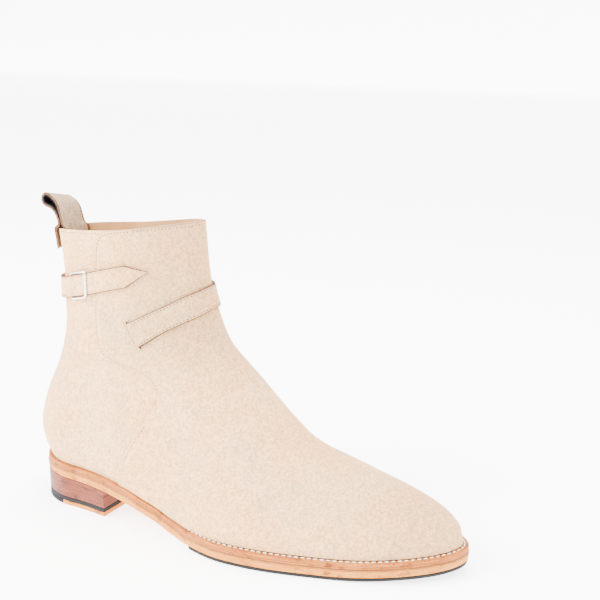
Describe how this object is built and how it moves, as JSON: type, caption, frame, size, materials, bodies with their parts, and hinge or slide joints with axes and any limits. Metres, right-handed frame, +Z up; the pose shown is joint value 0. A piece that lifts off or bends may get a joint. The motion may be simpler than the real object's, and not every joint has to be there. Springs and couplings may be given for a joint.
{
  "type": "jodhpur boot",
  "caption": "Ankle-high jodhpur boot with a plain one-piece front, wrap strap and side buckle, pull loop, welted leather sole and stacked heel.",
  "frame": {"origin": "on the floor, at the middle of the heel's top piece", "axes": "+Y from heel to toe, +Z up, +X towards the outer side of the right foot"},
  "size_m": [0.105, 0.2962, 0.2015],
  "materials": {
    "suede": "sand-coloured suede with a fine nap",
    "lining": "tan lining leather",
    "welt": "orange-tan waxed welt leather",
    "sole_leather": "natural tan sole leather, waxed edge",
    "heel_leather": "red-brown stacked leather, polished edge",
    "sole_rubber": "matt black rubber",
    "buckle_steel": "polished silver plate",
    "tape": "black woven tape"
  },
  "bodies": {
    "root": {"upper": "suede", "strap": "suede", "buckle_frame": "buckle_steel", "buckle_prong": "buckle_steel", "pull_loop": "suede", "pull_loop_tape": "tape", "back_seam_strip": "tape", "insole": "lining", "welt": "welt", "outsole": "sole_leather", "forefoot_rubber": "sole_rubber", "heel_stack": "heel_leather", "heel_lift_rubber": "sole_rubber", "top_piece_rubber": "sole_rubber", "top_piece_leather": "sole_leather"}
  },
  "joints": []
}
